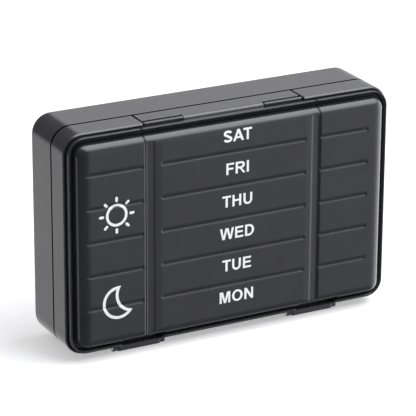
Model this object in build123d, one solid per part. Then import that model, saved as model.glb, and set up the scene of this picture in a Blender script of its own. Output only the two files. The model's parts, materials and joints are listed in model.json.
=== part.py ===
# Weekly pill organizer: a standing case with a front lid hinged at the top edge
# Millimetres, X to the right, Y to the back, Z up, floor at Z 0
import os
from math import acos, cos, radians, sin, sqrt

from build123d import *

# Case
case_width = 160.0
case_height = 102.0
case_corner = 9.0
lid_depth = 11.5
parting_gap = 0.6
base_depth = 21.7
wall = 2.0
back_edge_round = 2.6
rim_edge_bevel = 0.9
foot_height = 3.0

# Face panel and the rim around it
rim_width = 1.2
rim_proud = 0.9
ledge_thickness = 1.0
ledge_margin = 6.0
panel_margin = 4.0
panel_proud = 7.0
panel_seat = 1.6
panel_edge_round = 4.2
panel_crown_inset = 10.3
panel_crown_radius = 14.0
panel_thickness = 1.8
panel_pocket_margin = 7.0
flange_proud = 0.75
flange_gap = 0.25
ring_margin = 1.3
ring_width = 1.5
ring_proud = 3.4
ring_slope = 1.1

# Moulded grid on the face panel
row_count = 6
grid_margin = 4.5
face_grid_rise = 2.2
row_groove_depth = 0.45
row_groove_upper = 1.6
row_groove_lower = 0.5
row_groove_end_inset = 13.0
row_groove_seam_gap = 0.9
channel_depth = 0.6
channel_wall = 0.4
channel_step = 0.17
left_channel_inset = 36.3
left_channel_width = 7.6
right_channel_inset = 37.8
right_channel_width = 7.0
seam_width = 0.5
seam_depth = 0.4

# Hinge at the top edge
hinge_left_inset = 38.9
hinge_right_inset = 43.4
hinge_end_gap = 1.0
hinge_notch_depth = 2.5
lid_knuckle_length = 19.1
knuckle_gap = 0.3
knuckle_radius = 1.6
lid_knuckle_radius = 1.45
knuckle_relief = 0.25
hinge_pin_radius = 0.65
hinge_pin_clearance = 0.05
hinge_pin_inset = 0.6
rim_strip = 1.0
strip_edge_round = 0.6
slot_depth = 0.6
lid_stop_angle = 101.5
tongue_edge_round = 0.3
witness_depth = 0.25

# Latches under the lower front edge
latch_end_inset = 36.0
latch_width = 20.4
latch_ear_width = 2.4
latch_side_gap = 0.1
latch_axis_back = 1.6
latch_axis_height = 1.65
latch_barrel_radius = 1.3
latch_front_reach = 1.5
latch_front_rise = 1.2
latch_relief_radius = 1.95
latch_relief_back = 0.85
latch_arm_width = 18.0
latch_arm_end = 18.6
latch_arm_low = 0.5
latch_arm_thickness = 1.2
latch_pin_radius = 0.6
latch_pin_clearance = 0.05
latch_ear_half_depth = 1.3
latch_ear_bevel = 0.7
nib_front = 15.3
nib_back = 16.6
catch_front = 13.3
catch_back = 14.9
catch_height = 0.5
catch_clearance = 0.1
finger_notch_height = 1.6
finger_notch_front = 0.9

# Feet seated in recesses under the base
foot_width = 11.0
foot_latch_gap = 5.3
foot_front_gap = 0.4
foot_back_gap = 1.2
foot_edge_bevel = 0.5
foot_recess = 0.5
foot_recess_clearance = 0.05

# Locating lip inside the parting line
lip_reach = 1.7
lip_thickness = 1.2
lip_root = 1.5
lip_clearance = 0.15
lip_top_drop = 16.0

# Trays and their flip lids
tray_front_depth = 16.6
tray_side_gap = 2.0
tray_wall = 1.2
tray_gap = 1.0
tray_rib_clearance = 0.05
tray_rib_length = 4.0
tray_rib_inset = 6.0
flap_axis_front = 0.9
flap_axis_rise = 1.5
flap_thickness = 1.2
flap_top_gap = 2.6
flap_ear_front = 1.1
flap_ear_rise = 1.25
outer_ear_width = 1.5
middle_ear_width = 1.8
flap_side_gap = 0.2
pintle_length = 0.9
pintle_step = 0.07
pintle_clearance = 0.05
pintle_mouth = 1.0
pintle_sides = 12
socket_sides = 8
flap_grip_height = 1.8
flap_grip_proud = 0.7
flap_grip_slope = 0.6
flap_stop_angle = 84.0
flap_stop_reach = 1.1
flap_heel_inset = 0.1
flap_heel_drop = 0.5

# Places worked out from the sizes above
overlap = 0.5
beyond = 5.0
arc_margin = 0.1
depth_match = 0.01
case_bottom = foot_height
case_top = foot_height + case_height
case_middle = foot_height + case_height / 2
base_front = lid_depth + parting_gap
base_back = base_front + base_depth
depth_middle = (base_back - panel_proud) / 2
case_end = case_width / 2
row_pitch = (case_height - 2 * grid_margin) / row_count
grid_bottom = case_bottom + grid_margin
left_channel_outer = left_channel_inset - case_end
left_channel_inner = left_channel_outer + left_channel_width
right_channel_outer = case_end - right_channel_inset
right_channel_inner = right_channel_outer - right_channel_width
hinge_low = hinge_left_inset - case_end
hinge_high = case_end - hinge_right_inset
knuckle_low = hinge_low + lid_knuckle_length
knuckle_high = hinge_high - lid_knuckle_length
hinge_y = knuckle_radius
hinge_z = case_top - knuckle_radius
strip_corner = knuckle_radius - strip_edge_round
stop_turn = radians(lid_stop_angle)
stop_reach = strip_corner * (sin(stop_turn) - cos(stop_turn)) + strip_edge_round
tongue_slot_front = hinge_y + stop_reach
tray_back = base_back - wall
tray_half_width = case_end - wall - tray_side_gap
tray_rib_half_width = tray_half_width - tray_rib_inset
flap_height = row_pitch - flap_top_gap
flap_axis_y = tray_front_depth - flap_axis_front
pintle_radius = flap_thickness / 2 - pintle_step
panel_corner = max(case_corner - panel_margin, panel_edge_round + arc_margin)
latch_y = latch_axis_back
latch_z = latch_axis_height
latch_centre = case_end - latch_end_inset
foot_offset = latch_width / 2 + foot_latch_gap + foot_width / 2
foot_front = base_front + foot_front_gap
foot_back = base_back - back_edge_round - foot_back_gap
foot_centres = {
    "foot_left_outer": -latch_centre - foot_offset,
    "foot_left_inner": foot_offset - latch_centre,
    "foot_right_inner": latch_centre - foot_offset,
    "foot_right_outer": latch_centre + foot_offset,
}
day_names = ["mon", "tue", "wed", "thu", "fri", "sat"]


# Shared shapes
def face_block(width, height, front, back, corner, middle=case_middle):
    """Rounded rectangle seen from the front, running from one depth to another."""
    plane = Plane(origin=(0, back, middle), x_dir=(1, 0, 0), z_dir=(0, -1, 0))
    outline = RectangleRounded(width, height, corner)
    return extrude(plane * outline, amount=back - front)


def case_block(margin, front, back):
    """The case outline drawn in by a margin."""
    width = case_width - 2 * margin
    height = case_height - 2 * margin
    return face_block(width, height, front, back, case_corner - margin)


def box(x_low, x_high, y_low, y_high, z_low, z_high):
    """Plain block between two corners."""
    size = Box(x_high - x_low, y_high - y_low, z_high - z_low)
    centre = ((x_low + x_high) / 2, (y_low + y_high) / 2, (z_low + z_high) / 2)
    return Pos(*centre) * size


def rod(radius, x_low, x_high, y, z):
    """Round bar along X."""
    plane = Plane.YZ.offset(x_low)
    return extrude(plane * Pos(y, z) * Circle(radius), amount=x_high - x_low)


def flat_sided_bar(sides, reach, x_low, x_high, y, z):
    """Bar along X whose flat sides all lie at one reach from its axis."""
    plane = Plane.YZ.offset(x_low)
    half_side = 180 / sides
    outline = RegularPolygon(reach, sides, major_radius=False, rotation=half_side)
    return extrude(plane * Pos(y, z) * outline, amount=x_high - x_low)


def side_prism(points, x_low, x_high):
    """Side outline of depth and height points, running along X."""
    plane = Plane.YZ.offset(x_low)
    outline = make_face(Polyline(*points, close=True))
    return extrude(plane * outline, amount=x_high - x_low)


def plan_prism(points, z_low, z_high):
    """Plan outline of width and depth points, running up Z."""
    plane = Plane.XY.offset(z_low)
    outline = make_face(Polyline(*points, close=True))
    return extrude(plane * outline, amount=z_high - z_low)


def edges_at_depth(shape, depth):
    """Edges lying in the plane of one depth."""
    return shape.edges().filter_by_position(Axis.Y, depth - depth_match, depth + depth_match)


def row_bottom(row):
    """Lower edge of a row of the grid."""
    return grid_bottom + row * row_pitch


def foot_block(centre, clearance, low):
    """Block of a foot from one height up to the roof of its recess."""
    half = foot_width / 2 + clearance
    front = foot_front - clearance
    back = foot_back + clearance
    return box(centre - half, centre + half, front, back, low, case_bottom + foot_recess)


# Rear half of the case
def make_base_shell():
    shell = case_block(0, base_front, base_back)
    shell = fillet(edges_at_depth(shell, base_back), back_edge_round)
    shell -= case_block(wall, base_front - beyond, tray_back)

    # Lip that locates the lid at the bottom and the sides
    lip_margin = wall + lip_clearance
    lip = case_block(lip_margin, base_front - lip_reach, base_front + lip_root)
    lip += case_block(wall - overlap, base_front, base_front + lip_root)
    lip -= case_block(lip_margin + lip_thickness, base_front - beyond, base_back)
    lip &= box(-case_end, case_end, 0, base_back, case_bottom, case_top - lip_top_drop)
    shell += lip

    # Ribs that hold the trays apart
    rib_half = tray_gap / 2 - tray_rib_clearance
    rib_front = tray_back - tray_rib_length
    for row in range(row_count + 1):
        middle = row_bottom(row)
        low = middle - rib_half
        high = middle + rib_half
        shell += box(
            -tray_rib_half_width, tray_rib_half_width, rib_front, tray_back + overlap, low, high
        )

    # Hinge tongue, reaching over the top of the lid
    tongue_low = case_top - wall
    tongue_root = base_front + wall
    tongue = box(hinge_low, hinge_high, tongue_slot_front, tongue_root, tongue_low, case_top)
    tongue += box(knuckle_low, knuckle_high, hinge_y, base_front, tongue_low, case_top)
    tongue += rod(knuckle_radius, knuckle_low, knuckle_high, hinge_y, hinge_z)
    front_edges = edges_at_depth(tongue, tongue_slot_front).filter_by(Axis.X)
    tongue = fillet(front_edges.sort_by(Axis.Z)[-2:], tongue_edge_round)
    shell += tongue
    shell -= rod(hinge_pin_radius, hinge_low, hinge_high, hinge_y, hinge_z)
    witness_low = case_top - witness_depth
    shell -= box(hinge_low, hinge_high, lid_depth, base_front, witness_low, case_top + beyond)

    # Catches for the latches, and recesses for the feet
    for side in (-1, 1):
        middle = side * latch_centre
        low = middle - latch_arm_width / 2
        high = middle + latch_arm_width / 2
        catch_middle = (catch_front + catch_back) / 2
        catch_low = case_bottom - catch_height
        points = [
            (catch_front, case_bottom + overlap),
            (catch_front, case_bottom),
            (catch_middle, catch_low),
            (catch_back, catch_low),
            (catch_back, case_bottom + overlap),
        ]
        shell += side_prism(points, low, high)
    for centre in foot_centres.values():
        shell -= foot_block(centre, foot_recess_clearance, case_bottom - beyond)
    return shell


# Front half of the case
def make_lid_frame():
    frame = case_block(0, -rim_proud, lid_depth)
    frame = chamfer(edges_at_depth(frame, -rim_proud), rim_edge_bevel)
    frame -= case_block(wall, panel_seat + ledge_thickness, lid_depth + beyond)
    frame -= case_block(rim_width, -beyond, panel_seat)
    frame -= case_block(ledge_margin, -beyond, lid_depth)

    # Opening for the hinge tongue, then the lid's own knuckles inside it
    frame -= box(
        hinge_low - hinge_end_gap,
        hinge_high + hinge_end_gap,
        -beyond,
        lid_depth + beyond,
        case_top - hinge_notch_depth,
        case_top + beyond,
    )
    cut_low = knuckle_low - knuckle_gap
    cut_high = knuckle_high + knuckle_gap
    frame -= rod(knuckle_radius + knuckle_relief, cut_low, cut_high, hinge_y, hinge_z)
    barrel_back = hinge_y + lid_knuckle_radius
    root_low = case_top - panel_margin
    for x_low, x_high in ((hinge_low, cut_low), (cut_high, hinge_high)):
        strip = box(x_low, x_high, 0, rim_strip, case_top - rim_width, case_top)
        strip_edge = edges_at_depth(strip, 0).filter_by(Axis.X).sort_by(Axis.Z)[-1]
        strip = fillet(strip_edge, strip_edge_round)
        barrel = rod(lid_knuckle_radius, x_low, x_high, hinge_y, hinge_z)
        barrel -= box(
            x_low, x_high, -beyond, lid_depth, case_top - slot_depth, case_top + beyond
        )
        root = box(x_low, x_high, panel_seat, barrel_back, root_low, hinge_z)
        knuckle = strip + barrel + root
        bore = hinge_pin_radius + hinge_pin_clearance
        knuckle -= rod(bore, x_low, x_high, hinge_y, hinge_z)
        frame += knuckle

    # Ears for the latches, and room for the latch bars to turn
    ear_front = latch_y - latch_ear_half_depth
    ear_back = latch_y + latch_ear_half_depth
    ear_low = latch_z - latch_ear_half_depth
    ear_points = [
        (ear_front, case_bottom + overlap),
        (ear_front, ear_low + latch_ear_bevel),
        (ear_front + latch_ear_bevel, ear_low),
        (ear_back - latch_ear_bevel, ear_low),
        (ear_back, ear_low + latch_ear_bevel),
        (ear_back, case_bottom + overlap),
    ]
    for side in (-1, 1):
        middle = side * latch_centre
        inner = latch_width / 2 + latch_side_gap
        outer = inner + latch_ear_width
        relief = rod(latch_relief_radius, middle - inner, middle + inner, latch_y, latch_z)
        relief -= box(
            middle - outer,
            middle + outer,
            latch_y + latch_relief_back,
            lid_depth,
            0,
            case_middle,
        )
        frame -= relief
        for low, high in ((middle - outer, middle - inner), (middle + inner, middle + outer)):
            ear = side_prism(ear_points, low, high)
            ear -= rod(latch_pin_radius, low, high, latch_y, latch_z)
            frame += ear
    return frame


# Face panel: a deep pillow with rolled edges, standing in a flange with a ring round its edge
def pillow(inset):
    """The panel's outer form drawn in by an inset on every side, with a crown toward both ends."""
    width = case_width - 2 * (panel_margin + inset)
    height = case_height - 2 * (panel_margin + inset)
    front = inset - panel_proud
    end = width / 2
    crown_start = case_end - panel_crown_inset
    crown_radius = panel_crown_radius - inset
    crown_reach = end - crown_start
    crown_back = front + crown_radius - sqrt(crown_radius**2 - crown_reach**2)
    flat = Line((-crown_start, front), (crown_start, front))
    right_crown = TangentArc((crown_start, front), (end, crown_back), tangent=(1, 0))
    left_crown = TangentArc((-crown_start, front), (-end, crown_back), tangent=(-1, 0))
    rear = Polyline((end, crown_back), (end, panel_seat), (-end, panel_seat), (-end, crown_back))
    outline = make_face([flat, right_crown, rear, left_crown])
    crowned = extrude(Plane.XY.offset(case_bottom) * outline, amount=case_height)
    form = face_block(width, height, front, panel_seat, panel_corner - inset) & crowned
    rim_edges = form.edges().filter_by_position(Axis.Y, front - depth_match, crown_back + depth_match)
    inner_edges = rim_edges.filter_by_position(Axis.X, -crown_start - depth_match, crown_start + depth_match)
    return fillet(rim_edges - inner_edges.filter_by(Axis.Z), panel_edge_round - inset)


def make_lid_panel():
    panel = pillow(0)
    panel += case_block(ring_margin, -flange_proud, -flange_gap)
    ring = case_block(ring_margin, -ring_proud, -flange_gap)
    ring -= case_block(ring_margin + ring_width, -beyond, beyond)
    ring_crest = ring.faces().sort_by(Axis.Y)[0]
    panel += chamfer(ring_crest.inner_wires()[0].edges(), ring_slope)

    face = -panel_proud
    clear = face - beyond
    groove_spans = (
        (-case_end, left_channel_outer - seam_width - row_groove_seam_gap),
        (left_channel_inner, right_channel_inner),
        (right_channel_outer + seam_width, case_end - row_groove_end_inset),
    )
    for row in range(1, row_count):
        line = row_bottom(row) + face_grid_rise
        points = [
            (clear, line - row_groove_lower),
            (face, line - row_groove_lower),
            (face + row_groove_depth, line),
            (face, line + row_groove_upper),
            (clear, line + row_groove_upper),
        ]
        for low, high in groove_spans:
            panel -= side_prism(points, low, high)
    channels = (
        (left_channel_outer, left_channel_inner),
        (right_channel_outer, right_channel_inner),
    )
    for outer, inner in channels:
        toward = 1 if inner > outer else -1
        middle = (outer + inner) / 2
        points = [
            (outer, clear),
            (outer, face),
            (outer + toward * channel_wall, face + channel_depth),
            (middle, face + channel_depth - channel_step),
            (middle + toward * channel_wall, face + channel_depth - 2 * channel_step),
            (inner, face),
            (inner, clear),
        ]
        panel -= plan_prism(points, case_bottom, case_top)
        seam_end = outer - toward * seam_width
        seam_low = min(outer, seam_end)
        seam_high = max(outer, seam_end)
        seam = box(seam_low, seam_high, clear, -flange_proud, case_bottom, case_top)
        panel -= seam - pillow(seam_depth)
    panel -= case_block(panel_pocket_margin, panel_thickness - panel_proud, panel_seat + beyond)

    # Finger notches over the latches
    notch_half = latch_width / 2 + latch_side_gap
    notch_low = case_bottom + panel_margin
    for side in (-1, 1):
        middle = side * latch_centre
        panel -= box(
            middle - notch_half,
            middle + notch_half,
            clear,
            finger_notch_front,
            notch_low - beyond,
            notch_low + finger_notch_height,
        )
    return panel


# Latch bar with its arm, nib and finger lip
def make_latch(side):
    middle = side * latch_centre
    low = middle - latch_width / 2
    high = middle + latch_width / 2
    bar_low = latch_z - latch_barrel_radius
    front = latch_y - latch_front_reach
    bar = rod(latch_barrel_radius, low, high, latch_y, latch_z)
    front_block = box(low, high, front, latch_y, bar_low, latch_z + latch_front_rise)
    round_edges = edges_at_depth(front_block, front).filter_by(Axis.X)
    front_block = fillet(round_edges, tongue_edge_round)
    bar += front_block
    arm_high = latch_arm_low + latch_arm_thickness
    nib_high = case_bottom - catch_height - catch_clearance
    nib_middle = (nib_front + nib_back) / 2
    points = [
        (latch_y, latch_arm_low),
        (latch_arm_end, latch_arm_low),
        (latch_arm_end, latch_arm_low + latch_arm_thickness / 2),
        (nib_back, arm_high),
        (nib_middle, nib_high),
        (nib_front, nib_high),
        (nib_front, arm_high),
        (latch_y, arm_high),
    ]
    arm_half = latch_arm_width / 2
    bar += side_prism(points, middle - arm_half, middle + arm_half)
    bar -= rod(latch_pin_radius + latch_pin_clearance, low, high, latch_y, latch_z)
    return bar


def make_latch_pin(side):
    middle = side * latch_centre
    half = latch_width / 2 + latch_side_gap + latch_ear_width
    return rod(latch_pin_radius, middle - half, middle + half, latch_y, latch_z)


def make_hinge_pin():
    pin_low = hinge_low + hinge_pin_inset
    pin_high = hinge_high - hinge_pin_inset
    return rod(hinge_pin_radius, pin_low, pin_high, hinge_y, hinge_z)


# Foot pad with its lower edges bevelled
def make_foot(centre):
    foot = foot_block(centre, 0, 0)
    lower_edges = foot.faces().sort_by(Axis.Z)[0].edges()
    return chamfer(lower_edges, foot_edge_bevel)


# Tray with a day cell and a night cell
def make_tray(row):
    low = row_bottom(row) + tray_gap / 2
    high = row_bottom(row + 1) - tray_gap / 2
    tray = box(-tray_half_width, tray_half_width, tray_front_depth, tray_back, low, high)
    cell_width = (2 * tray_half_width - 3 * tray_wall) / 2
    for side in (-1, 1):
        near = side * tray_wall / 2
        far = side * (tray_wall / 2 + cell_width)
        tray -= box(
            min(near, far),
            max(near, far),
            tray_front_depth - beyond,
            tray_back - tray_wall,
            low + tray_wall,
            high - tray_wall,
        )
    axis_z = row_bottom(row) + flap_axis_rise
    ears = (
        (-tray_half_width, -tray_half_width + outer_ear_width),
        (-middle_ear_width / 2, middle_ear_width / 2),
        (tray_half_width - outer_ear_width, tray_half_width),
    )
    ear_front = flap_axis_y - flap_ear_front
    ear_points = [
        (tray_front_depth + overlap, low),
        (ear_front, low),
        (ear_front, axis_z + flap_ear_front),
        (flap_axis_y, axis_z + flap_ear_rise),
        (tray_front_depth + overlap, axis_z + flap_ear_rise),
    ]
    for ear_low, ear_high in ears:
        ear = side_prism(ear_points, ear_low, ear_high)
        socket_reach = pintle_radius + pintle_clearance
        ear -= flat_sided_bar(socket_sides, socket_reach, ear_low, ear_high, flap_axis_y, axis_z)
        mouth_low = axis_z - pintle_mouth / 2
        ear -= box(ear_low, ear_high, ear_front, flap_axis_y, mouth_low, mouth_low + pintle_mouth)
        tray += ear
    return tray


# Flip lid with a pintle at each end, a grip and a toe that ends its swing
def make_flap(row, side):
    axis_z = row_bottom(row) + flap_axis_rise
    near = side * (middle_ear_width / 2 + flap_side_gap)
    far = side * (tray_half_width - outer_ear_width - flap_side_gap)
    low = min(near, far)
    high = max(near, far)
    half = flap_thickness / 2
    front = flap_axis_y - half
    back = flap_axis_y + half
    top = axis_z + flap_height
    grip_low = top - flap_grip_height
    toe_angle = -acos(flap_axis_front / flap_stop_reach) - radians(flap_stop_angle)
    toe_y = flap_axis_y + flap_stop_reach * cos(toe_angle)
    toe_z = axis_z + flap_stop_reach * sin(toe_angle)
    points = [
        (back, axis_z),
        (back, top),
        (front - flap_grip_proud, top),
        (front - flap_grip_proud, grip_low + flap_grip_slope),
        (front, grip_low),
        (front, axis_z),
        (toe_y, toe_z),
        (back - flap_heel_inset, axis_z - flap_heel_drop),
    ]
    flap = side_prism(points, low, high)
    for end_low, end_high in ((low - pintle_length, low), (high, high + pintle_length)):
        flap += flat_sided_bar(pintle_sides, pintle_radius, end_low, end_high, flap_axis_y, axis_z)
    return flap


# Pieces by name
pieces = {
    "base_shell": make_base_shell(),
    "lid_frame": make_lid_frame(),
    "lid_panel": make_lid_panel(),
    "hinge_pin": make_hinge_pin(),
    "latch_left": make_latch(-1),
    "latch_right": make_latch(1),
    "latch_pin_left": make_latch_pin(-1),
    "latch_pin_right": make_latch_pin(1),
}
for name, centre in foot_centres.items():
    pieces[name] = make_foot(centre)
for row, day in enumerate(day_names):
    pieces[f"tray_{day}"] = make_tray(row)
    pieces[f"day_flap_{day}"] = make_flap(row, -1)
    pieces[f"night_flap_{day}"] = make_flap(row, 1)

os.makedirs("parts", exist_ok=True)
for name, piece in pieces.items():
    export_step(Pos(0, -depth_middle, 0) * piece, f"parts/{name}.step")
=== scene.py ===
# Looks of the pill organizer: materials, printing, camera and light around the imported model
import json
import math

import bmesh
import bpy
from mathutils import Matrix, Vector


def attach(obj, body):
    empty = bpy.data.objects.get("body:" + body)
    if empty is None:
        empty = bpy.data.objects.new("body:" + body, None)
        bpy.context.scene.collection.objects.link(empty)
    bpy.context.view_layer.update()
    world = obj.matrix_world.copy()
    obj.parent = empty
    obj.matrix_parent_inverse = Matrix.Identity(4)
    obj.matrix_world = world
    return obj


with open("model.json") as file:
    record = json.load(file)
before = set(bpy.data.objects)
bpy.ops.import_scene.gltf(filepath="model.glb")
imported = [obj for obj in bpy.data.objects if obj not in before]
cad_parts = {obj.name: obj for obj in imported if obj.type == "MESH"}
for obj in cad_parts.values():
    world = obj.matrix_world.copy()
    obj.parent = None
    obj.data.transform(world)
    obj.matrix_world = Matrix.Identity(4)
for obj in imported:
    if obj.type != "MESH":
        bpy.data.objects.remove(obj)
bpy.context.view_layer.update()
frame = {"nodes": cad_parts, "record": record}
nodes = frame["nodes"]

# Sizes of the face in millimetres, in the same frame as the model
mm = 0.001
face_front = -20.4
face_low = 7.0
face_high = 101.0
face_half_width = 76.0
face_edge_round = 4.2
groove_heights = [25.2, 40.7, 56.2, 71.7, 87.2]
groove_depth = 0.45
groove_upper = 1.6
groove_lower = 0.5
print_lift = 0.06


# Values shared by the materials
reflection_tint = (0.955, 0.96, 1.0, 1)
plastic_ior = 1.56
noise_low = 0.3
noise_high = 0.7
cloud_scale = 60
cloud_detail = 3
haze_scale = 160
haze_detail = 4
grain_detail = 2
bevel_samples = 6


def new_material(name):
    material = bpy.data.materials.new(name)
    material.use_nodes = True
    tree = material.node_tree
    tree.nodes.clear()
    shader = tree.nodes.new("ShaderNodeBsdfPrincipled")
    output = tree.nodes.new("ShaderNodeOutputMaterial")
    tree.links.new(shader.outputs["BSDF"], output.inputs["Surface"])
    return material, tree, shader


def noise(tree, scale, detail):
    place = tree.nodes.new("ShaderNodeTexCoord")
    texture = tree.nodes.new("ShaderNodeTexNoise")
    texture.inputs["Scale"].default_value = scale
    texture.inputs["Detail"].default_value = detail
    tree.links.new(place.outputs["Object"], texture.inputs["Vector"])
    return texture


def spread(tree, source, low, high):
    """Maps a noise value onto a range."""
    scale = tree.nodes.new("ShaderNodeMapRange")
    scale.inputs["From Min"].default_value = noise_low
    scale.inputs["From Max"].default_value = noise_high
    scale.inputs["To Min"].default_value = low
    scale.inputs["To Max"].default_value = high
    tree.links.new(source.outputs["Fac"], scale.inputs["Value"])
    return scale


def shade_between(tree, source, dark, light):
    """Colour that wanders between two shades with a noise."""
    ramp = tree.nodes.new("ShaderNodeValToRGB")
    ramp.color_ramp.elements[0].position = noise_low
    ramp.color_ramp.elements[0].color = (*dark, 1)
    ramp.color_ramp.elements[1].position = noise_high
    ramp.color_ramp.elements[1].color = (*light, 1)
    tree.links.new(source.outputs["Fac"], ramp.inputs["Fac"])
    return ramp


def smooth_step(tree, source, start, end, low, high):
    """Goes smoothly from one level to another between two values."""
    step = tree.nodes.new("ShaderNodeMapRange")
    step.interpolation_type = "SMOOTHSTEP"
    step.inputs["From Min"].default_value = start
    step.inputs["From Max"].default_value = end
    step.inputs["To Min"].default_value = low
    step.inputs["To Max"].default_value = high
    tree.links.new(source, step.inputs["Value"])
    return step.outputs["Result"]


def product(tree, one, two):
    times = tree.nodes.new("ShaderNodeMath")
    times.operation = "MULTIPLY"
    tree.links.new(one, times.inputs[0])
    tree.links.new(two, times.inputs[1])
    return times.outputs[0]


def moulded_plastic(name, dark, light, rough, grain_scale, grain_height, edge_round):
    """Plastic with a slightly uneven tone and gloss, a fine grain and softened edges."""
    material, tree, shader = new_material(name)
    shader.inputs["IOR"].default_value = plastic_ior
    shader.inputs["Specular Tint"].default_value = reflection_tint
    cloud = noise(tree, cloud_scale, cloud_detail)
    tone = shade_between(tree, cloud, dark, light)
    tree.links.new(tone.outputs["Color"], shader.inputs["Base Color"])
    haze = noise(tree, haze_scale, haze_detail)
    gloss = spread(tree, haze, *rough)
    tree.links.new(gloss.outputs["Result"], shader.inputs["Roughness"])
    softened = tree.nodes.new("ShaderNodeBevel")
    softened.samples = bevel_samples
    softened.inputs["Radius"].default_value = edge_round * mm
    grain = noise(tree, grain_scale, grain_detail)
    bump = tree.nodes.new("ShaderNodeBump")
    bump.inputs["Distance"].default_value = grain_height * mm
    tree.links.new(grain.outputs["Fac"], bump.inputs["Height"])
    tree.links.new(softened.outputs["Normal"], bump.inputs["Normal"])
    tree.links.new(bump.outputs["Normal"], shader.inputs["Normal"])
    tree.links.new(softened.outputs["Normal"], shader.inputs["Coat Normal"])
    return material


# Finishes, with the heights of grain and the rounding of edges in millimetres
case_plastic = moulded_plastic(
    "case_plastic",
    dark=(0.033, 0.033, 0.037),
    light=(0.037, 0.037, 0.0415),
    rough=(0.2, 0.26),
    grain_scale=2500,
    grain_height=0.001,
    edge_round=0.6,
)
panel_plastic = moulded_plastic(
    "panel_plastic",
    dark=(0.02, 0.0205, 0.024),
    light=(0.024, 0.0245, 0.028),
    rough=(0.16, 0.22),
    grain_scale=2500,
    grain_height=0.001,
    edge_round=1.2,
)
tray_plastic = moulded_plastic(
    "tray_plastic",
    dark=(0.1, 0.103, 0.11),
    light=(0.13, 0.134, 0.142),
    rough=(0.45, 0.6),
    grain_scale=1800,
    grain_height=0.006,
    edge_round=0.15,
)
flap_plastic = moulded_plastic(
    "flap_plastic",
    dark=(0.56, 0.575, 0.59),
    light=(0.64, 0.655, 0.67),
    rough=(0.25, 0.36),
    grain_scale=2200,
    grain_height=0.003,
    edge_round=0.15,
)
foot_rubber = moulded_plastic(
    "foot_rubber",
    dark=(0.022, 0.022, 0.023),
    light=(0.035, 0.035, 0.036),
    rough=(0.7, 0.85),
    grain_scale=900,
    grain_height=0.02,
    edge_round=0.2,
)
print_white = moulded_plastic(
    "print_white",
    dark=(0.88, 0.88, 0.88),
    light=(0.94, 0.94, 0.94),
    rough=(0.4, 0.5),
    grain_scale=1500,
    grain_height=0.003,
    edge_round=0.02,
)

# Drawn steel of the pins
drawn_scale = 700
drawn_detail = 4
steel_dark = (0.5, 0.5, 0.52)
steel_light = (0.66, 0.66, 0.68)
steel_rough_range = (0.22, 0.4)
pin_steel, steel_tree, steel_shader = new_material("pin_steel")
steel_shader.inputs["Metallic"].default_value = 1.0
drawn = noise(steel_tree, drawn_scale, drawn_detail)
steel_tone = shade_between(steel_tree, drawn, steel_dark, steel_light)
steel_tree.links.new(steel_tone.outputs["Color"], steel_shader.inputs["Base Color"])
steel_rough = spread(steel_tree, drawn, *steel_rough_range)
steel_tree.links.new(steel_rough.outputs["Result"], steel_shader.inputs["Roughness"])

# Polished skin of the case, with painted shade along the rim and where its two halves meet: colour and
# gloss are darkened there to stand for the shade in their gaps
seam_place = -1.6
seam_half_width = 0.5
seam_fade = 0.3
rim_place = -14.2
rim_fade = 0.5
painted_rim_shade_level = 0.2
plain_gloss = 0.5
skin_gloss = 0.2
skin_rough = 0.06
case_tree = case_plastic.node_tree
case_point = case_tree.nodes.new("ShaderNodeTexCoord")
case_axes = case_tree.nodes.new("ShaderNodeSeparateXYZ")
case_tree.links.new(case_point.outputs["Object"], case_axes.inputs[0])
from_seam = case_tree.nodes.new("ShaderNodeMath")
from_seam.operation = "SUBTRACT"
from_seam.inputs[1].default_value = seam_place * mm
case_tree.links.new(case_axes.outputs["Y"], from_seam.inputs[0])
seam_gap = case_tree.nodes.new("ShaderNodeMath")
seam_gap.operation = "ABSOLUTE"
case_tree.links.new(from_seam.outputs[0], seam_gap.inputs[0])
# Painted shade: a dark band along the seam stands for the shadow in the gap between the two halves
seam_painted_shade = smooth_step(
    case_tree, seam_gap.outputs[0], seam_half_width * mm, (seam_half_width + seam_fade) * mm, 0.0, 1.0
)
# Painted shade: the front of the rim is darkened to stand for the shadow gap around the panel
rim_painted_shade = smooth_step(
    case_tree, case_axes.outputs["Y"], rim_place * mm, (rim_place + rim_fade) * mm, painted_rim_shade_level, 1.0
)
# Both bands of painted shade together: one where the case is plainly lit, lower where shade is painted
case_painted_shade = product(case_tree, seam_painted_shade, rim_painted_shade)
case_shader = case_tree.nodes["Principled BSDF"]
case_shader.inputs["Coat Roughness"].default_value = skin_rough
# The painted shade also takes away the gloss and the coat there
for socket, level in (("Specular IOR Level", plain_gloss), ("Coat Weight", skin_gloss)):
    gloss = smooth_step(case_tree, case_painted_shade, 0.0, 1.0, 0.0, level)
    case_tree.links.new(gloss, case_shader.inputs[socket])
# The painted shade darkens the base colour
case_tone = case_shader.inputs["Base Color"].links[0].from_socket
case_tone_with_painted_shade = case_tree.nodes.new("ShaderNodeVectorMath")
case_tone_with_painted_shade.operation = "SCALE"
case_tree.links.new(case_tone, case_tone_with_painted_shade.inputs[0])
case_tree.links.new(case_painted_shade, case_tone_with_painted_shade.inputs["Scale"])
case_tree.links.new(case_tone_with_painted_shade.outputs[0], case_shader.inputs["Base Color"])

finishes = {
    "case_plastic": case_plastic,
    "panel_plastic": panel_plastic,
    "tray_plastic": tray_plastic,
    "flap_plastic": flap_plastic,
    "foot_rubber": foot_rubber,
    "pin_steel": pin_steel,
}
node_slots = {part["node"]: part["material_slot"] for part in frame["record"]["subparts"]}
for name, node in nodes.items():
    node.data.materials.clear()
    node.data.materials.append(finishes[node_slots[name]])


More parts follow.
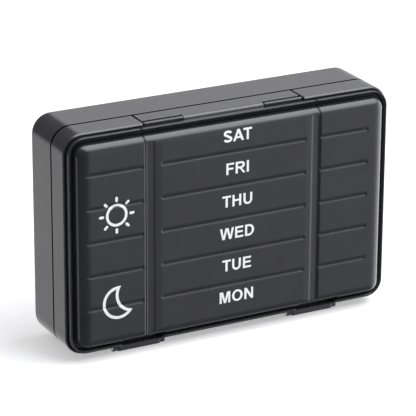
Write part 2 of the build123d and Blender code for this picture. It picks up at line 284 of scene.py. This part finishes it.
# Shape of the face, used to lay the printing on it
def face_depth(x, z):
    """How far the face lies behind its foremost plane."""
    from_edge = min(face_half_width - abs(x), z - face_low, face_high - z)
    depth = 0.0
    if from_edge < face_edge_round:
        reach = face_edge_round - from_edge
        depth = face_edge_round - math.sqrt(face_edge_round**2 - reach**2)
    for height in groove_heights:
        above = z - height
        if 0 <= above < groove_upper:
            depth = max(depth, groove_depth * (1 - above / groove_upper))
        if -groove_lower < above < 0:
            depth = max(depth, groove_depth * (1 + above / groove_lower))
    return depth


def lay_on_face(flat, name, divisions):
    """Turns a flat bmesh of width and height points into printing that follows the face."""
    bmesh.ops.triangulate(flat, faces=flat.faces)
    if divisions:
        bmesh.ops.subdivide_edges(flat, edges=flat.edges, cuts=divisions, use_grid_fill=True)
    for vertex in flat.verts:
        x, z = vertex.co.x, vertex.co.y
        vertex.co = Vector((x, face_front + face_depth(x, z) - print_lift, z)) * mm
    bmesh.ops.recalc_face_normals(flat, faces=flat.faces)
    mesh = bpy.data.meshes.new(name)
    flat.to_mesh(mesh)
    flat.free()
    mesh.materials.append(print_white)
    piece = bpy.data.objects.new(name, mesh)
    bpy.context.scene.collection.objects.link(piece)
    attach(piece, "lid")
    return piece


# Flat shapes for the printing
def arc_points(centre_x, centre_y, reach_x, reach_y, start, end, steps):
    """Points along part of an ellipse, with both ends."""
    points = []
    for step in range(steps + 1):
        angle = math.radians(start + (end - start) * step / steps)
        points.append((centre_x + reach_x * math.cos(angle), centre_y + reach_y * math.sin(angle)))
    return points


def add_shape(flat, points):
    """One filled outline."""
    flat.faces.new([flat.verts.new((x, y, 0)) for x, y in points])


def add_band(flat, outer, inner, closed):
    """Band between two lines with as many points each."""
    outer_line = [flat.verts.new((x, y, 0)) for x, y in outer]
    inner_line = [flat.verts.new((x, y, 0)) for x, y in inner]
    count = len(outer_line)
    for step in range(count if closed else count - 1):
        after = (step + 1) % count
        flat.faces.new((outer_line[step], outer_line[after], inner_line[after], inner_line[step]))


# Plain bold capitals, drawn one unit tall
stem = 0.2
arm = 0.17
curve_steps = 16


def block(x_low, x_high, y_low, y_high):
    return [(x_low, y_low), (x_high, y_low), (x_high, y_high), (x_low, y_high)]


def stroke(spine, width):
    """Two lines at half a width to each side of a spine."""
    left = []
    right = []
    last = len(spine) - 1
    for index, (x, y) in enumerate(spine):
        before = spine[max(index - 1, 0)]
        after = spine[min(index + 1, last)]
        run = math.hypot(after[0] - before[0], after[1] - before[1])
        across_x = -(after[1] - before[1]) / run * width / 2
        across_y = (after[0] - before[0]) / run * width / 2
        left.append((x + across_x, y + across_y))
        right.append((x - across_x, y - across_y))
    return left, right


def letter_shapes(letter):
    """Filled outlines, bands, and the advance of one capital."""
    shapes = []
    bands = []
    if letter == "A":
        shapes.append([(0, 0), (0.22, 0), (0.31, 0.22), (0.379, 0.39), (0.505, 0.7), (0.505, 1), (0.4, 1)])
        shapes.append(
            [(0.505, 0.7), (0.631, 0.39), (0.7, 0.22), (0.79, 0), (1.01, 0), (0.61, 1), (0.505, 1)]
        )
        shapes.append([(0.31, 0.22), (0.7, 0.22), (0.631, 0.39), (0.379, 0.39)])
        advance = 0.93
    elif letter == "D":
        outer = [(0.1, 0)] + arc_points(0.45, 0.5, 0.5, 0.5, -90, 90, curve_steps) + [(0.1, 1)]
        inner = [(0.3, arm)]
        inner += arc_points(0.45, 0.5, 0.29, 0.5 - arm, -90, 90, curve_steps)
        inner += [(0.3, 1 - arm)]
        bands.append((outer, inner, True))
        advance = 1.01
    elif letter == "E":
        shapes.append(block(0.1, 0.3, 0, 1))
        shapes.append(block(0.3, 0.85, 1 - arm, 1))
        shapes.append(block(0.3, 0.81, 0.43, 0.43 + arm))
        shapes.append(block(0.3, 0.87, 0, arm))
        advance = 0.93
    elif letter == "F":
        shapes.append(block(0.1, 0.3, 0, 1))
        shapes.append(block(0.3, 0.81, 1 - arm, 1))
        shapes.append(block(0.3, 0.74, 0.42, 0.42 + arm))
        advance = 0.85
    elif letter == "H":
        shapes.append(block(0.1, 0.3, 0, 1))
        shapes.append(block(0.3, 0.71, 0.43, 0.43 + arm))
        shapes.append(block(0.71, 0.91, 0, 1))
        advance = 1.01
    elif letter == "I":
        shapes.append(block(0.1, 0.3, 0, 1))
        advance = 0.39
    elif letter == "M":
        shapes.append([(0.1, 0), (0.29, 0), (0.29, 0.66), (0.1, 1)])
        shapes.append([(0.29, 0.66), (0.485, 0), (0.58, 0.31), (0.4, 1), (0.1, 1)])
        shapes.append([(0.485, 0), (0.675, 0), (0.58, 0.31)])
        shapes.append([(0.675, 0), (0.87, 0.66), (1.06, 1), (0.76, 1), (0.58, 0.31)])
        shapes.append([(0.87, 0), (1.06, 0), (1.06, 1), (0.87, 0.66)])
        advance = 1.16
    elif letter == "N":
        shapes.append([(0.1, 0), (0.29, 0), (0.29, 0.66), (0.1, 1)])
        shapes.append([(0.1, 1), (0.29, 0.66), (0.7, 0), (0.9, 0), (0.71, 0.34), (0.3, 1)])
        shapes.append([(0.9, 0), (0.9, 1), (0.71, 1), (0.71, 0.34)])
        advance = 1.01
    elif letter == "O":
        outer = arc_points(0.545, 0.5, 0.485, 0.515, 0, 360, 3 * curve_steps)[:-1]
        inner = arc_points(0.545, 0.5, 0.275, 0.345, 0, 360, 3 * curve_steps)[:-1]
        bands.append((outer, inner, True))
        advance = 1.09
    elif letter == "R":
        shapes.append(block(0.1, 0.3, 0, 1))
        outer = [(0.3, 1)] + arc_points(0.63, 0.705, 0.3, 0.295, 90, -90, curve_steps) + [(0.3, 0.41)]
        inner = [(0.3, 0.83)] + arc_points(0.61, 0.705, 0.115, 0.125, 90, -90, curve_steps) + [(0.3, 0.58)]
        bands.append((outer, inner, False))
        shapes.append([(0.4, 0.41), (0.66, 0.41), (1.0, 0), (0.76, 0), (0.52, 0.36)])
        advance = 1.01
    elif letter == "S":
        spine = arc_points(0.455, 0.735, 0.29, 0.17, 12, 245, curve_steps)
        spine += arc_points(0.46, 0.265, 0.305, 0.175, 65, -168, curve_steps)
        left, right = stroke(spine, stem)
        bands.append((left, right, False))
        advance = 0.92
    elif letter == "T":
        shapes.append(block(0.03, 0.82, 1 - arm, 1))
        shapes.append(block(0.325, 0.525, 0, 1 - arm))
        advance = 0.85
    elif letter == "U":
        outer = [(0.1, 1)] + arc_points(0.505, 0.38, 0.405, 0.395, 180, 360, curve_steps) + [(0.91, 1)]
        inner = [(0.3, 1)] + arc_points(0.505, 0.38, 0.205, 0.215, 180, 360, curve_steps) + [(0.71, 1)]
        bands.append((outer, inner, False))
        advance = 1.01
    else:
        shapes.append([(0, 1), (0.235, 0), (0.345, 0.31), (0.21, 1)])
        shapes.append([(0.235, 0), (0.455, 0), (0.345, 0.31)])
        shapes.append([(0.455, 0), (0.655, 0.77), (0.655, 1), (0.515, 1), (0.345, 0.31)])
        shapes.append([(0.655, 0.77), (0.855, 0), (0.965, 0.31), (0.795, 1), (0.655, 1)])
        shapes.append([(0.855, 0), (1.075, 0), (0.965, 0.31)])
        shapes.append([(1.075, 0), (1.31, 1), (1.1, 1), (0.965, 0.31)])
        advance = 1.32
    return shapes, bands, advance


# Weekday names
word_centre = 0.79
first_baseline = 16.84
word_pitch = 15.136
cap_height = 5.37
words = ["MON", "TUE", "WED", "THU", "FRI", "SAT"]
word_widths = [16.9, 14.5, 17.1, 14.9, 11.25, 14.0]
flat_cuts = 1
# The top word runs onto the rolled edge, and the signs cross grooves, so they are cut finer
roll_cuts = 3
sign_cuts = 2

for row, word in enumerate(words):
    flat = bmesh.new()
    pen = 0.0
    for letter in word:
        shapes, bands, advance = letter_shapes(letter)
        for shape in shapes:
            add_shape(flat, [(pen + x, y) for x, y in shape])
        for outer, inner, closed in bands:
            add_band(flat, [(pen + x, y) for x, y in outer], [(pen + x, y) for x, y in inner], closed)
        pen += advance
    xs = [vertex.co.x for vertex in flat.verts]
    middle = (min(xs) + max(xs)) / 2
    stretch = word_widths[row] / (max(xs) - min(xs))
    for vertex in flat.verts:
        vertex.co.x = word_centre + (vertex.co.x - middle) * stretch
        vertex.co.y = first_baseline + row * word_pitch + vertex.co.y * cap_height
    cuts = roll_cuts if word == words[-1] else flat_cuts
    lay_on_face(flat, f"word_{word.lower()}", cuts)

# Sun sign
sun_x = -57.98
sun_z = 67.91
sun_ring_outer = 5.17
sun_ring_inner = 3.93
sun_ray_start = 6.02
sun_ray_end = 8.45
sun_ray_width = 1.25
sun_ray_count = 8
round_steps = 64
end_steps = 8

sun = bmesh.new()
add_band(
    sun,
    arc_points(sun_x, sun_z, sun_ring_outer, sun_ring_outer, 0, 360, round_steps)[:-1],
    arc_points(sun_x, sun_z, sun_ring_inner, sun_ring_inner, 0, 360, round_steps)[:-1],
    True,
)
for ray in range(sun_ray_count):
    angle = 2 * math.pi * ray / sun_ray_count
    half = sun_ray_width / 2
    outline = arc_points(sun_ray_end - half, 0, half, half, -90, 90, end_steps)
    outline += arc_points(sun_ray_start + half, 0, half, half, 90, 270, end_steps)
    points = []
    for outward, across in outline:
        x = sun_x + outward * math.cos(angle) - across * math.sin(angle)
        z = sun_z + outward * math.sin(angle) + across * math.cos(angle)
        points.append((x, z))
    add_shape(sun, points)
lay_on_face(sun, "sign_sun", sign_cuts)

# Moon sign
moon_x = -57.33
moon_z = 27.19
moon_radius = 7.71
moon_stroke = 1.35
notch_x = -50.07
notch_z = 30.57
notch_radius = 7.41
arc_steps = 48


def crescent(radius, bite):
    """Loop of a disc with a round bite taken out, starting at the upper tip."""
    gap = math.hypot(notch_x - moon_x, notch_z - moon_z)
    toward = math.degrees(math.atan2(notch_z - moon_z, notch_x - moon_x))
    chord = (gap**2 + radius**2 - bite**2) / (2 * gap)
    tip = math.degrees(math.acos(chord / radius))
    bite_tip = math.degrees(math.acos((gap - chord) / bite))
    loop = arc_points(moon_x, moon_z, radius, radius, toward + tip, toward + 360 - tip, arc_steps)[:-1]
    start = toward + 180 + bite_tip
    loop += arc_points(notch_x, notch_z, bite, bite, start, start - 2 * bite_tip, arc_steps)[:-1]
    return loop


moon = bmesh.new()
add_band(
    moon,
    crescent(moon_radius, notch_radius),
    crescent(moon_radius - moon_stroke, notch_radius + moon_stroke),
    True,
)
lay_on_face(moon, "sign_moon", sign_cuts)


# Stage: a pale floor and what is around it
def ray_kind(tree, kinds):
    """One for rays of any of the kinds named, and none for the others."""
    path = tree.nodes.new("ShaderNodeLightPath")
    total = path.outputs[kinds[0]]
    for kind in kinds[1:]:
        plus = tree.nodes.new("ShaderNodeMath")
        plus.operation = "ADD"
        plus.use_clamp = True
        tree.links.new(total, plus.inputs[0])
        tree.links.new(path.outputs[kind], plus.inputs[1])
        total = plus.outputs[0]
    return total


floor_colour = (0.82, 0.82, 0.83, 1)
glow_near = 0.1
glow_far = 0.5
glow_near_level = 0.4
glow_far_level = 0.6
floor_material = bpy.data.materials.new("floor")
floor_material.use_nodes = True
floor_tree = floor_material.node_tree
floor_tree.nodes.clear()
floor_diffuse = floor_tree.nodes.new("ShaderNodeBsdfDiffuse")
floor_diffuse.inputs["Color"].default_value = floor_colour
floor_glow = floor_tree.nodes.new("ShaderNodeEmission")
floor_place = floor_tree.nodes.new("ShaderNodeTexCoord")
floor_reach = floor_tree.nodes.new("ShaderNodeVectorMath")
floor_reach.operation = "LENGTH"
floor_tree.links.new(floor_place.outputs["Object"], floor_reach.inputs[0])
floor_distance = floor_reach.outputs["Value"]
floor_rise = smooth_step(floor_tree, floor_distance, glow_near, glow_far, glow_near_level, glow_far_level)
floor_seen = ray_kind(floor_tree, ["Is Camera Ray", "Is Transmission Ray"])
floor_tree.links.new(product(floor_tree, floor_seen, floor_rise), floor_glow.inputs["Strength"])
floor_sum = floor_tree.nodes.new("ShaderNodeAddShader")
floor_tree.links.new(floor_diffuse.outputs[0], floor_sum.inputs[0])
floor_tree.links.new(floor_glow.outputs[0], floor_sum.inputs[1])

# Reflections look past the floor into the studio around it
floor_clear = floor_tree.nodes.new("ShaderNodeBsdfTransparent")
floor_mix = floor_tree.nodes.new("ShaderNodeMixShader")
floor_tree.links.new(ray_kind(floor_tree, ["Is Glossy Ray"]), floor_mix.inputs["Fac"])
floor_tree.links.new(floor_sum.outputs[0], floor_mix.inputs[1])
floor_tree.links.new(floor_clear.outputs[0], floor_mix.inputs[2])
floor_output = floor_tree.nodes.new("ShaderNodeOutputMaterial")
floor_tree.links.new(floor_mix.outputs[0], floor_output.inputs["Surface"])

floor_half = 4.0
floor_shape = bmesh.new()
bmesh.ops.create_grid(floor_shape, x_segments=2, y_segments=2, size=floor_half)
floor_mesh = bpy.data.meshes.new("floor")
floor_shape.to_mesh(floor_mesh)
floor_shape.free()
floor_mesh.materials.append(floor_material)
floor = bpy.data.objects.new("floor", floor_mesh)
bpy.context.scene.collection.objects.link(floor)

# White studio, with lighter and darker zones that only reflections see
soft_level = 0.55
white_level = 1.0
world = bpy.data.worlds.new("studio")
bpy.context.scene.world = world
world.use_nodes = True
world_tree = world.node_tree
world_tree.nodes.clear()
world_place = world_tree.nodes.new("ShaderNodeTexCoord")


def along(direction):
    """How far a ray in the world points along a direction."""
    reach = world_tree.nodes.new("ShaderNodeVectorMath")
    reach.operation = "DOT_PRODUCT"
    reach.inputs[1].default_value = direction
    world_tree.links.new(world_place.outputs["Generated"], reach.inputs[0])
    return reach.outputs["Value"]


# Each zone has a direction, the cosines where it starts and is full, and its level beside plain white
studio_zones = {
    "dark card at the front left": ((-0.79, -0.61, 0.0), 0.25, 0.5, 0.12),
    "dark ceiling behind on the left": ((-0.355, 0.828, 0.435), 0.77, 0.84, 0.2),
    "bright wall at the right": ((0.98, 0.0, -0.196), 0.69, 0.9, 3.6),
    "softbox above the front": ((0.3, -0.15, 0.94), 0.68, 0.95, 6.0),
    "dim ground": ((0.0, -0.35, -0.94), 0.57, 0.8, 0.25),
    "strip of light at the left": ((-0.903, 0.242, -0.355), 0.97, 0.99, 18.0),
}
mirrored = None
for label, (direction, zone_start, zone_full, zone_level) in studio_zones.items():
    zone = smooth_step(world_tree, along(direction), zone_start, zone_full, white_level, zone_level)
    zone.node.label = label
    mirrored = zone if mirrored is None else product(world_tree, mirrored, zone)
world_seen = ray_kind(world_tree, ["Is Camera Ray", "Is Transmission Ray"])
seen_level = smooth_step(world_tree, world_seen, 0.0, 1.0, soft_level, white_level)
studio_level = world_tree.nodes.new("ShaderNodeMix")
world_tree.links.new(ray_kind(world_tree, ["Is Glossy Ray"]), studio_level.inputs["Factor"])
world_tree.links.new(seen_level, studio_level.inputs["A"])
world_tree.links.new(mirrored, studio_level.inputs["B"])
world_glow = world_tree.nodes.new("ShaderNodeBackground")
world_tree.links.new(studio_level.outputs["Result"], world_glow.inputs["Strength"])
world_output = world_tree.nodes.new("ShaderNodeOutputWorld")
world_tree.links.new(world_glow.outputs[0], world_output.inputs["Surface"])

# Soft lamp above the front, mirrored only as the softbox zone of the studio
softbox = bpy.data.lights.new("top_softbox", "AREA")
softbox.shape = "RECTANGLE"
softbox.size = 1.0
softbox.size_y = 1.5
softbox.energy = 26
softbox.color = (0.95, 0.955, 1.0)
softbox_place = bpy.data.objects.new("top_softbox", softbox)
softbox_place.location = (0.55, -0.65, 1.25)
softbox_place.visible_glossy = False
bpy.context.scene.collection.objects.link(softbox_place)

# Camera at the photograph's view
camera_azimuth = math.radians(-27.699)
camera_elevation = math.radians(20.782)
camera_roll = math.radians(0.2906)
camera_right = -8.644
camera_up = 52.255
camera_distance = 1144.88
camera_lens = 219.92
frame_shift = Vector((0, -13.4, 3.0))

back = Vector(
    (
        math.sin(camera_azimuth) * math.cos(camera_elevation),
        -math.cos(camera_azimuth) * math.cos(camera_elevation),
        math.sin(camera_elevation),
    )
)
level_right = Vector((math.cos(camera_azimuth), math.sin(camera_azimuth), 0))
level_up = back.cross(level_right)
right = level_right * math.cos(camera_roll) + level_up * math.sin(camera_roll)
up = level_up * math.cos(camera_roll) - level_right * math.sin(camera_roll)
eye = right * camera_right + up * camera_up + back * camera_distance + frame_shift
camera_data = bpy.data.cameras.new("camera")
camera_data.lens = camera_lens
camera_data.sensor_width = 36.0
camera_data.clip_start = 0.05
camera_data.clip_end = 50.0
camera = bpy.data.objects.new("camera", camera_data)
turn = Matrix((right, up, back)).transposed()
camera.matrix_world = Matrix.Translation(eye * mm) @ turn.to_4x4()
bpy.context.scene.collection.objects.link(camera)
bpy.context.scene.camera = camera
bpy.context.scene.view_settings.view_transform = "Standard"
